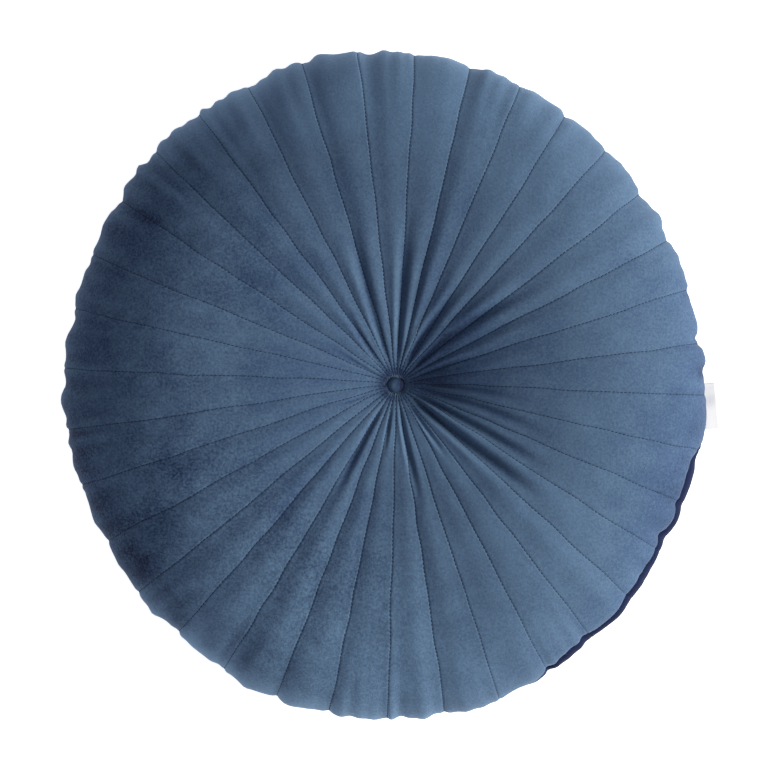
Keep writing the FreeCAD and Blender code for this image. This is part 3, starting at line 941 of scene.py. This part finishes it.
def add_math(nodes, links, operation, a, b):
    node = nodes.new("ShaderNodeMath")
    node.operation = operation
    for socket, value in zip(node.inputs, (a, b)):
        if isinstance(value, (int, float)):
            socket.default_value = value
        else:
            links.new(value, socket)
    return node.outputs["Value"]


def add_bump(nodes, links, height, strength, distance):
    """Raises the surface of the material's shader by a height."""
    bump = nodes.new("ShaderNodeBump")
    bump.inputs["Strength"].default_value = strength
    bump.inputs["Distance"].default_value = distance
    links.new(height, bump.inputs["Height"])
    links.new(bump.outputs["Normal"], nodes["Principled BSDF"].inputs["Normal"])


def add_mix(nodes, links, factor, a, b):
    node = nodes.new("ShaderNodeMix")
    node.data_type = "RGBA"
    sockets = {"Factor": node.inputs[0], "A": node.inputs[6], "B": node.inputs[7]}
    for key, value in (("Factor", factor), ("A", a), ("B", b)):
        if isinstance(value, (int, float, tuple)):
            sockets[key].default_value = value
        else:
            links.new(value, sockets[key])
    return node.outputs[2]


# The pile's colour by its tone and its painted shade and light, from darkest to lightest
PILE = [
    (-0.3, (0.009, 0.014, 0.042)),
    (0.35, (0.0415, 0.078, 0.147)),
    (0.65, (0.063, 0.110, 0.177)),
    (1.0, (0.083, 0.146, 0.233)),
    (1.4, (0.110, 0.190, 0.292)),
    (2.2, (0.160, 0.272, 0.402)),
]


def velvet_material(name, level, sheen, gloss):
    """Short pile velvet: crushed patches, a fine grain, painted shade and painted light read from a vertex
    attribute, and a sheen where it is seen edge on.
    """
    material, nodes, links, shader = node_material(name)
    broad = add_noise(nodes, links, 16, 3, 0.6)
    patches = add_noise(nodes, links, 70, 5, 0.72)
    grain = add_noise(nodes, links, 640, 4, 0.78)
    shade_attribute_node = nodes.new("ShaderNodeAttribute")
    shade_attribute_node.attribute_name = "pile_and_painted_shade"
    worn = nodes.new("ShaderNodeAttribute")
    worn.attribute_name = "matted"

    def total(a, b):
        return add_math(nodes, links, "ADD", a, b)

    def times(a, b):
        return add_math(nodes, links, "MULTIPLY", a, b)

    pile_and_painted_shade = total(times(broad, 0.55), times(patches, 0.45))
    pile_and_painted_shade = add_range(nodes, links, pile_and_painted_shade, 0.30, 0.66, 0.53, 0.73)
    # Painted shade and painted light from the vertex attribute, laid over the crushed pile
    pile_and_painted_shade = total(pile_and_painted_shade, times(shade_attribute_node.outputs["Fac"], 0.6))
    pile_and_painted_shade = total(pile_and_painted_shade, times(times(total(patches, -0.5), 1.2), worn.outputs["Fac"]))
    coarse = total(1.5, times(worn.outputs["Fac"], 2.1))
    pile_and_painted_shade = total(pile_and_painted_shade, times(total(grain, -0.5), coarse))
    low, high = PILE[0][0], PILE[-1][0]
    tone = nodes.new("ShaderNodeValToRGB")
    ramp = tone.color_ramp
    for lie, _ in PILE[1:-1]:
        ramp.elements.new((lie - low) / (high - low))
    for stop, (lie, colour) in zip(ramp.elements, PILE):
        stop.color = tuple(level * v for v in colour) + (1,)
    links.new(times(total(pile_and_painted_shade, -low), 1 / (high - low)), tone.inputs["Fac"])
    links.new(tone.outputs["Color"], shader.inputs["Base Color"])
    shader.inputs["Roughness"].default_value = 0.85
    shader.inputs["Specular IOR Level"].default_value = gloss
    shader.inputs["Sheen Weight"].default_value = sheen
    shader.inputs["Sheen Roughness"].default_value = 0.35
    shader.inputs["Sheen Tint"].default_value = (0.45, 0.62, 0.85, 1)
    add_bump(nodes, links, total(grain, times(patches, 1.5)), 0.35, 0.0006)
    return material


def thread_material():
    material, nodes, links, shader = node_material("navy_thread")
    twist = add_noise(nodes, links, 2500, 2, 0.5)
    colour = add_mix(nodes, links, twist, (0.005, 0.011, 0.026, 1), (0.018, 0.034, 0.066, 1))
    links.new(colour, shader.inputs["Base Color"])
    shader.inputs["Roughness"].default_value = 0.7
    shader.inputs["Specular IOR Level"].default_value = 0.1
    return material


def label_material():
    material, nodes, links, shader = node_material("label_satin")
    weave = add_noise(nodes, links, 3000, 1, 0.5, stretch=(1.0, 0.25, 1.0))
    colour = add_mix(nodes, links, weave, (0.69, 0.69, 0.69, 1), (0.79, 0.79, 0.79, 1))
    links.new(colour, shader.inputs["Base Color"])
    shader.inputs["Roughness"].default_value = 0.45
    shader.inputs["Sheen Weight"].default_value = 0.2
    add_bump(nodes, links, weave, 0.3, 0.0001)
    return material


def fibre_material(name, colour):
    """Matted fibres, hidden inside: a soft tangle of fine strands."""
    material, nodes, links, shader = node_material(name)
    strands = add_noise(nodes, links, 260, 5, 0.7, stretch=(1.0, 0.35, 1.0))
    dark = tuple(0.7 * v for v in colour[:3]) + (1,)
    links.new(add_mix(nodes, links, strands, dark, colour), shader.inputs["Base Color"])
    shader.inputs["Roughness"].default_value = 0.95
    add_bump(nodes, links, strands, 0.5, 0.0005)
    return material


def metal_material(name, colour, roughness, stretch):
    """Bare metal with fine drawing marks and a little tarnish."""
    material, nodes, links, shader = node_material(name)
    marks = add_noise(nodes, links, 900, 3, 0.6, stretch=stretch)
    tarnish = add_noise(nodes, links, 240, 4, 0.6)
    dull = tuple(0.55 * v for v in colour[:3]) + (1,)
    tarnished = add_range(nodes, links, tarnish, 0.45, 0.7, 0.0, 0.6)
    links.new(add_mix(nodes, links, tarnished, colour, dull), shader.inputs["Base Color"])
    worn = add_range(nodes, links, marks, 0.3, 0.7, roughness, roughness + 0.2)
    links.new(worn, shader.inputs["Roughness"])
    shader.inputs["Metallic"].default_value = 1.0
    add_bump(nodes, links, marks, 0.25, 0.00005)
    return material


def twine_material():
    """Twisted polyester twine: slanting plies with fine fibres."""
    material, nodes, links, shader = node_material("tuft_twine")
    plies = nodes.new("ShaderNodeTexWave")
    plies.bands_direction = "DIAGONAL"
    plies.inputs["Scale"].default_value = 420
    plies.inputs["Distortion"].default_value = 1.5
    links.new(nodes.new("ShaderNodeTexCoord").outputs["Object"], plies.inputs["Vector"])
    fibres = add_noise(nodes, links, 3500, 2, 0.6, stretch=(1.0, 1.0, 0.3))
    ply_part = add_math(nodes, links, "MULTIPLY", plies.outputs["Fac"], 0.7)
    shade = add_math(nodes, links, "ADD", ply_part, add_math(nodes, links, "MULTIPLY", fibres, 0.3))
    colour = add_mix(nodes, links, shade, (0.34, 0.32, 0.27, 1), (0.72, 0.70, 0.63, 1))
    links.new(colour, shader.inputs["Base Color"])
    shader.inputs["Roughness"].default_value = 0.75
    add_bump(nodes, links, shade, 0.6, 0.0003)
    return material


def floor_material():
    material, _, _, shader = node_material("studio_floor")
    shader.inputs["Base Color"].default_value = (0.90, 0.90, 0.90, 1)
    shader.inputs["Roughness"].default_value = 0.9
    shader.inputs["Emission Color"].default_value = (1, 1, 1, 1)
    shader.inputs["Emission Strength"].default_value = 0.85
    return material


# ---------------------------------------------------------------- pieces

SETTLED = settled_skin()

velvet = velvet_material("blue_velvet", 1.0, 0.35, 0.15)
# The back's velvet is a slightly darker copy of the front's with almost no sheen: painted shade, so the strip
# of it along the open seam looks dark
velvet_shaded_back = velvet_material("blue_velvet_shaded_back", 0.95, 0.04, 0.05)
velvet_button = velvet_material("blue_velvet_button", 1.0, 0.10, 0.15)
thread = thread_material()
label_cloth = label_material()
wadding = fibre_material("wadding_fleece", (0.78, 0.78, 0.76, 1))
lining = fibre_material("lining_cloth", (0.55, 0.57, 0.60, 1))
fibre = fibre_material("filling_fibre", (0.85, 0.85, 0.84, 1))

QUILTED_TO = 0.93             # part of the way to the seam that the wadding and lining reach
FLEECE = (2.4 * MM, 5.6 * MM)           # depths of its two faces under the outside of the velvet
LINING = (5.8 * MM, 6.2 * MM)
FILLING_DEPTH = 6.6 * MM

for side, cloth in (("front", velvet), ("back", velvet_shaded_back)):
    panel = panel_mesh(side + "_velvet", side, cloth)
    belongs(panel, "cushion", "velvet", side + "_panel")
    fleece = layer_mesh(side + "_fleece", side, *FLEECE, QUILTED_TO, wadding)
    belongs(fleece, "cushion", "wadding", side + "_wadding")
    under = layer_mesh(side + "_lining", side, *LINING, QUILTED_TO, lining)
    belongs(under, "cushion", "lining", side + "_backing")
    rows = quilting_stitches(side + "_quilting", side, thread)
    belongs(rows, "cushion", "thread", side + "_quilting_thread")

stuffing = filling_mesh("fibre_stuffing", FILLING_DEPTH, fibre)
belongs(stuffing, "cushion", "fibre_filling", "filling")
belongs(seam_stitches("rim_stitches", thread), "cushion", "thread", "rim_seam_thread")
belongs(closing_stitches("closing_stitches", thread), "cushion", "thread", "closing_seam_thread")

front_button = button_mesh(
    "front_button_velvet", FRONT_BUTTON_LOW.z, FRONT_BUTTON_HIGH.z, 1, velvet_button)
# Painted shade on the front button's +X side and painted light on its -X side
shade_button_sides(front_button, -2.5, 1.5)
belongs(front_button, "front_button", "velvet", "front_button_cover")
back_button = button_mesh("back_button_velvet", BACK_BUTTON_HIGH.z, BACK_BUTTON_LOW.z, -1, velvet_shaded_back)
# Painted shade over the back button, darker on its +X side
shade_button_sides(back_button, -0.6, -0.3)
belongs(back_button, "back_button", "velvet", "back_button_cover")

tape = label_mesh("label_tape", label_cloth)
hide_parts("side_label", "side_label_tail")
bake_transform(tape)

shell_metal = metal_material("button_aluminium", (0.72, 0.72, 0.73, 1), 0.35, (1.0, 1.0, 0.2))
wire_metal = metal_material("button_steel", (0.56, 0.56, 0.57, 1), 0.28, (0.2, 1.0, 1.0))
twine = twine_material()
for name, finish in (
    ("front_button_shell", shell_metal),
    ("back_button_shell", shell_metal),
    ("front_button_plate", shell_metal),
    ("back_button_plate", shell_metal),
    ("front_button_loop", wire_metal),
    ("back_button_loop", wire_metal),
    ("tuft_cord", twine),
    ("tuft_cord_knot", twine),
):
    for place in frame["nodes"][name].material_slots:
        place.material = finish

# ---------------------------------------------------------------- stage, light and camera

def make_stage():
    bpy.ops.mesh.primitive_plane_add(size=12)
    floor = bpy.context.object
    floor.name = "floor"
    floor.data.materials.append(floor_material())


def make_area_light(name, position, target, size, power, colour):
    data = bpy.data.lights.new(name, "AREA")
    data.shape = "DISK"
    data.size = size
    data.energy = power
    data.color = colour
    lamp = bpy.data.objects.new(name, data)
    bpy.context.scene.collection.objects.link(lamp)
    lamp.location = position
    direction = np.array(target, float) - np.array(position, float)
    lamp.rotation_mode = "QUATERNION"
    lamp.rotation_quaternion = Vector(direction).to_track_quat("-Z", "Y")


def make_world(strength):
    world = bpy.data.worlds.new("studio")
    bpy.context.scene.world = world
    world.use_nodes = True
    background = world.node_tree.nodes["Background"]
    background.inputs["Color"].default_value = (0.80, 0.81, 1.0, 1)
    background.inputs["Strength"].default_value = strength


VIEW_WIDTH = 468.33 * MM      # what the picture takes in, at the height VIEW_Z
VIEW_Z = 60 * MM
CAMERA_PLACE = (-8.58 * MM, 1.84 * MM, 2000 * MM)
SENSOR_WIDTH = 36             # in mm, as Blender has it


def make_camera():
    """Straight above the face, with the face's +Y up in the picture."""
    data = bpy.data.cameras.new("camera")
    camera = bpy.data.objects.new("camera", data)
    bpy.context.scene.collection.objects.link(camera)
    data.sensor_width = SENSOR_WIDTH
    data.lens = SENSOR_WIDTH * (CAMERA_PLACE[2] - VIEW_Z) / VIEW_WIDTH
    camera.location = CAMERA_PLACE
    camera.rotation_euler = (0, 0, 0)
    bpy.context.scene.camera = camera


make_stage()
make_world(0.30)
make_area_light("key", (1.5, -0.16, 0.80), (0, 0, 0.05), 0.9, 48, (1.0, 0.98, 0.94))
make_camera()
bpy.context.scene.view_settings.view_transform = "Standard"
